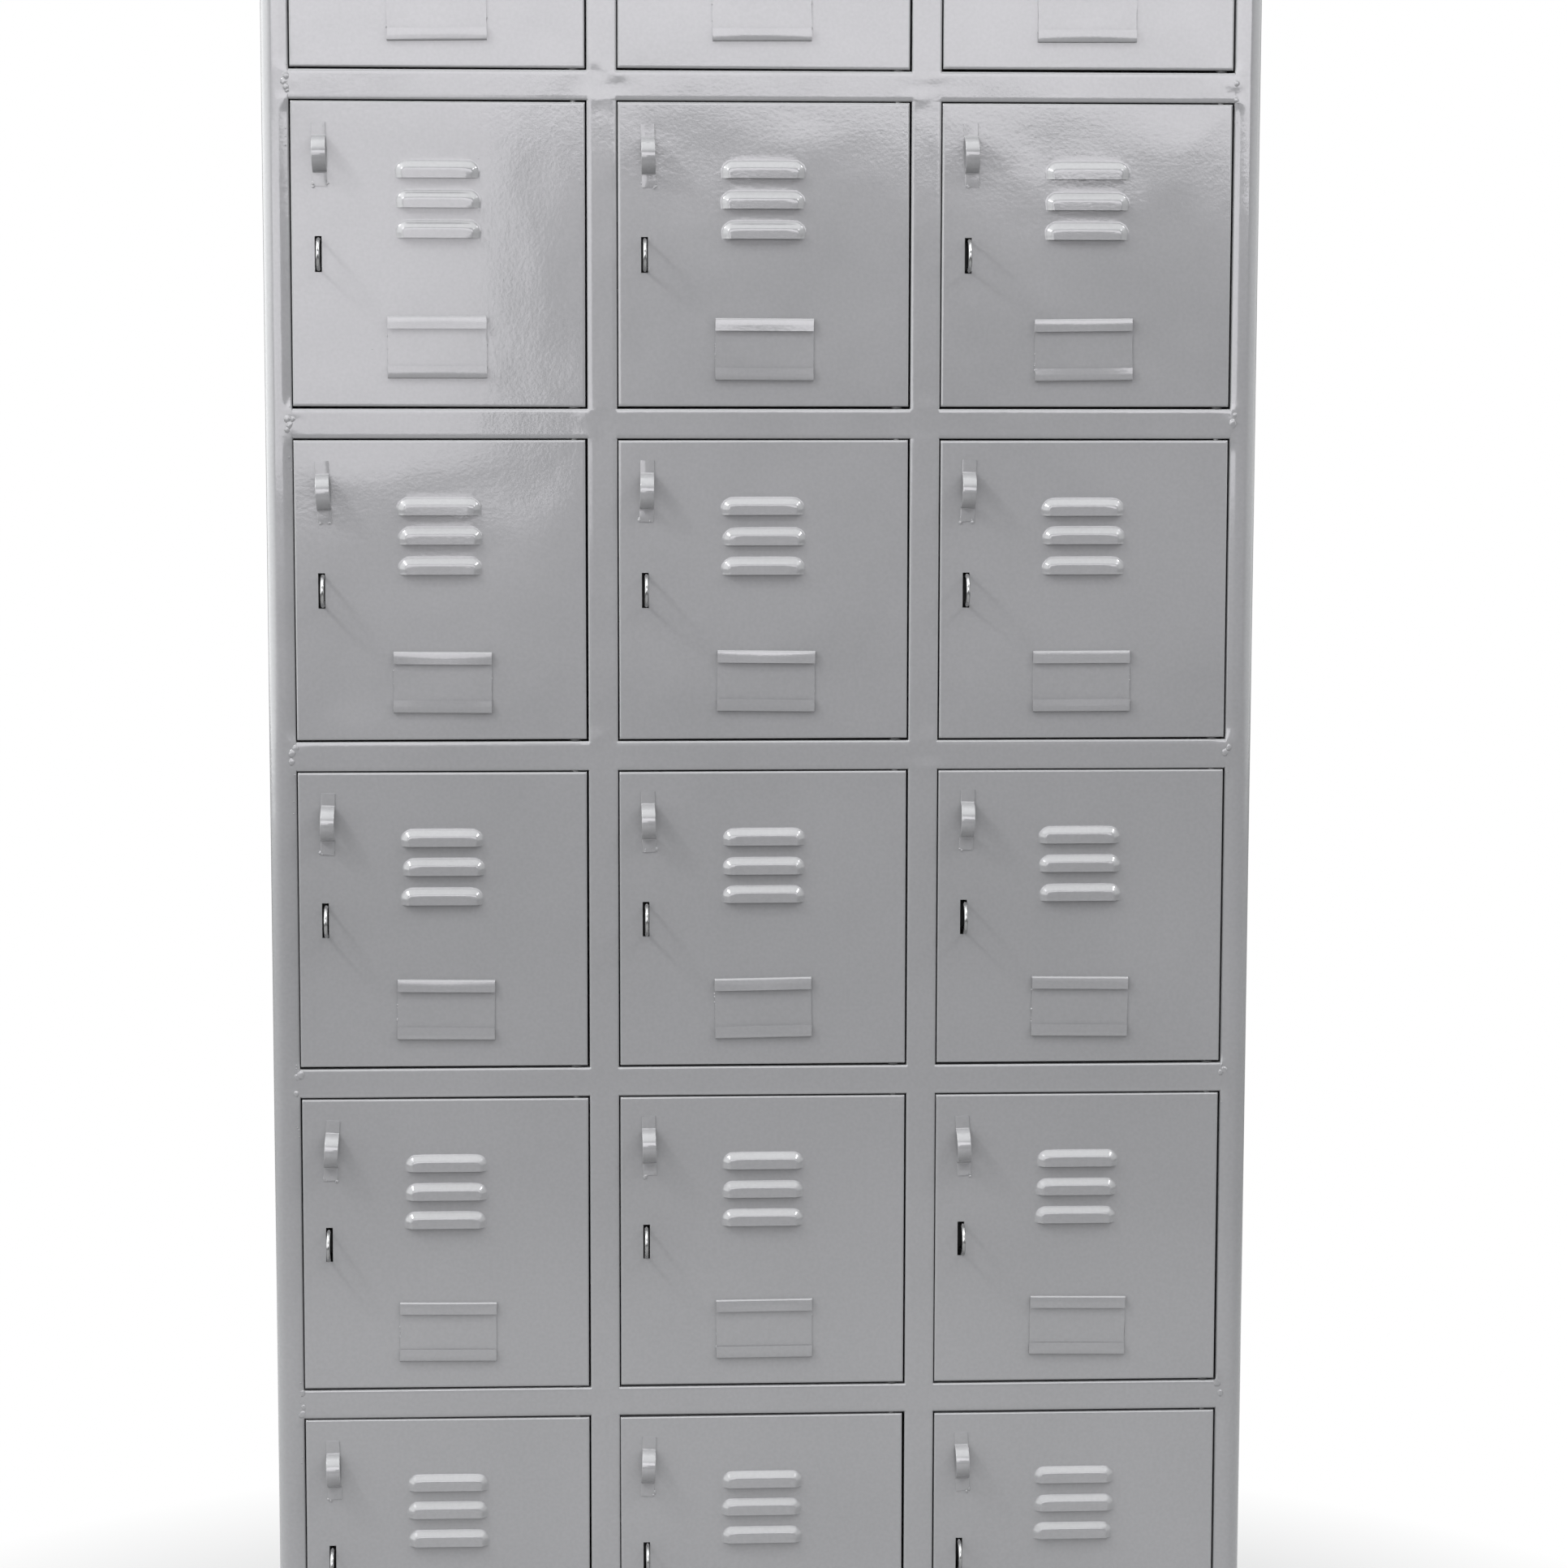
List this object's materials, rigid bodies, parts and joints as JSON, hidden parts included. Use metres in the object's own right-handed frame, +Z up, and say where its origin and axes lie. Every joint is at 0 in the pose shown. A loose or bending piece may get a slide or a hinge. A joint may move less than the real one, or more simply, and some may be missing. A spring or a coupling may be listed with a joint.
{
  "type": "padlock locker bank",
  "caption": "Free-standing steel locker bank: welded square-tube frame on short legs, sheet panels, louvred hinged doors with strap pulls, card holders and padlock staples.",
  "frame": {"origin": "on the floor, under the centre of the overall bounding box", "axes": "+Z up, -Y out of the doors' faces, +X to the right for a person facing the doors"},
  "size_m": [0.9, 0.4212, 1.99],
  "materials": {
    "frame_enamel": "glossy light grey enamel",
    "door_enamel": "glossy light grey enamel",
    "panel_enamel": "glossy light grey enamel",
    "bare_steel": "bright bar",
    "nylon": "black, matt",
    "rivet_aluminium": "satin",
    "black_plastic": "moulded"
  },
  "bodies": {
    "cabinet": {"front_post_left": "frame_enamel", "front_post_right": "frame_enamel", "rear_post_left": "frame_enamel", "rear_post_right": "frame_enamel", "front_rails": "frame_enamel", "front_mullions": "frame_enamel", "side_rails_left": "frame_enamel", "side_rails_right": "frame_enamel", "rear_rails": "frame_enamel", "side_panel_left": "panel_enamel", "side_panel_right": "panel_enamel", "back_panel": "panel_enamel", "roof_panel": "panel_enamel", "bottom_panel": "panel_enamel", "partition_left": "panel_enamel", "partition_right": "panel_enamel", "shelves": "panel_enamel", "strike_plates": "bare_steel", "padlock_staples": "bare_steel", "hinge_pins": "bare_steel", "hinge_washers": "nylon", "panel_rivets": "rivet_aluminium", "foot_caps": "black_plastic"},
    "door_row1_left": {"door_row1_left": "door_enamel", "pull_and_card_holder_row1_left": "door_enamel"},
    "door_row1_middle": {"door_row1_middle": "door_enamel", "pull_and_card_holder_row1_middle": "door_enamel"},
    "door_row1_right": {"door_row1_right": "door_enamel", "pull_and_card_holder_row1_right": "door_enamel"},
    "door_row2_left": {"door_row2_left": "door_enamel", "pull_and_card_holder_row2_left": "door_enamel"},
    "door_row2_middle": {"door_row2_middle": "door_enamel", "pull_and_card_holder_row2_middle": "door_enamel"},
    "door_row2_right": {"door_row2_right": "door_enamel", "pull_and_card_holder_row2_right": "door_enamel"},
    "door_row3_left": {"door_row3_left": "door_enamel", "pull_and_card_holder_row3_left": "door_enamel"},
    "door_row3_middle": {"door_row3_middle": "door_enamel", "pull_and_card_holder_row3_middle": "door_enamel"},
    "door_row3_right": {"door_row3_right": "door_enamel", "pull_and_card_holder_row3_right": "door_enamel"},
    "door_row4_left": {"door_row4_left": "door_enamel", "pull_and_card_holder_row4_left": "door_enamel"},
    "door_row4_middle": {"door_row4_middle": "door_enamel", "pull_and_card_holder_row4_middle": "door_enamel"},
    "door_row4_right": {"door_row4_right": "door_enamel", "pull_and_card_holder_row4_right": "door_enamel"},
    "door_row5_left": {"door_row5_left": "door_enamel", "pull_and_card_holder_row5_left": "door_enamel"},
    "door_row5_middle": {"door_row5_middle": "door_enamel", "pull_and_card_holder_row5_middle": "door_enamel"},
    "door_row5_right": {"door_row5_right": "door_enamel", "pull_and_card_holder_row5_right": "door_enamel"},
    "door_row6_left": {"door_row6_left": "door_enamel", "pull_and_card_holder_row6_left": "door_enamel"},
    "door_row6_middle": {"door_row6_middle": "door_enamel", "pull_and_card_holder_row6_middle": "door_enamel"},
    "door_row6_right": {"door_row6_right": "door_enamel", "pull_and_card_holder_row6_right": "door_enamel"}
  },
  "joints": [
    {"name": "hinge_row1_left", "type": "hinge", "parent": "cabinet", "child": "door_row1_left", "pos_m": [-0.17167, -0.18505, 1.8245], "axis": [0, 0, 1], "range_deg": [0, 110]},
    {"name": "hinge_row1_middle", "type": "hinge", "parent": "cabinet", "child": "door_row1_middle", "pos_m": [0.12067, -0.18505, 1.8245], "axis": [0, 0, 1], "range_deg": [0, 110]},
    {"name": "hinge_row1_right", "type": "hinge", "parent": "cabinet", "child": "door_row1_right", "pos_m": [0.413, -0.18505, 1.8245], "axis": [0, 0, 1], "range_deg": [0, 110]},
    {"name": "hinge_row2_left", "type": "hinge", "parent": "cabinet", "child": "door_row2_left", "pos_m": [-0.17167, -0.18505, 1.5225], "axis": [0, 0, 1], "range_deg": [0, 110]},
    {"name": "hinge_row2_middle", "type": "hinge", "parent": "cabinet", "child": "door_row2_middle", "pos_m": [0.12067, -0.18505, 1.5225], "axis": [0, 0, 1], "range_deg": [0, 110]},
    {"name": "hinge_row2_right", "type": "hinge", "parent": "cabinet", "child": "door_row2_right", "pos_m": [0.413, -0.18505, 1.5225], "axis": [0, 0, 1], "range_deg": [0, 110]},
    {"name": "hinge_row3_left", "type": "hinge", "parent": "cabinet", "child": "door_row3_left", "pos_m": [-0.17167, -0.18505, 1.2205], "axis": [0, 0, 1], "range_deg": [0, 110]},
    {"name": "hinge_row3_middle", "type": "hinge", "parent": "cabinet", "child": "door_row3_middle", "pos_m": [0.12067, -0.18505, 1.2205], "axis": [0, 0, 1], "range_deg": [0, 110]},
    {"name": "hinge_row3_right", "type": "hinge", "parent": "cabinet", "child": "door_row3_right", "pos_m": [0.413, -0.18505, 1.2205], "axis": [0, 0, 1], "range_deg": [0, 110]},
    {"name": "hinge_row4_left", "type": "hinge", "parent": "cabinet", "child": "door_row4_left", "pos_m": [-0.17167, -0.18505, 0.9185], "axis": [0, 0, 1], "range_deg": [0, 110]},
    {"name": "hinge_row4_middle", "type": "hinge", "parent": "cabinet", "child": "door_row4_middle", "pos_m": [0.12067, -0.18505, 0.9185], "axis": [0, 0, 1], "range_deg": [0, 110]},
    {"name": "hinge_row4_right", "type": "hinge", "parent": "cabinet", "child": "door_row4_right", "pos_m": [0.413, -0.18505, 0.9185], "axis": [0, 0, 1], "range_deg": [0, 110]},
    {"name": "hinge_row5_left", "type": "hinge", "parent": "cabinet", "child": "door_row5_left", "pos_m": [-0.17167, -0.18505, 0.6165], "axis": [0, 0, 1], "range_deg": [0, 110]},
    {"name": "hinge_row5_middle", "type": "hinge", "parent": "cabinet", "child": "door_row5_middle", "pos_m": [0.12067, -0.18505, 0.6165], "axis": [0, 0, 1], "range_deg": [0, 110]},
    {"name": "hinge_row5_right", "type": "hinge", "parent": "cabinet", "child": "door_row5_right", "pos_m": [0.413, -0.18505, 0.6165], "axis": [0, 0, 1], "range_deg": [0, 110]},
    {"name": "hinge_row6_left", "type": "hinge", "parent": "cabinet", "child": "door_row6_left", "pos_m": [-0.17167, -0.18505, 0.3145], "axis": [0, 0, 1], "range_deg": [0, 110]},
    {"name": "hinge_row6_middle", "type": "hinge", "parent": "cabinet", "child": "door_row6_middle", "pos_m": [0.12067, -0.18505, 0.3145], "axis": [0, 0, 1], "range_deg": [0, 110]},
    {"name": "hinge_row6_right", "type": "hinge", "parent": "cabinet", "child": "door_row6_right", "pos_m": [0.413, -0.18505, 0.3145], "axis": [0, 0, 1], "range_deg": [0, 110]}
  ]
}
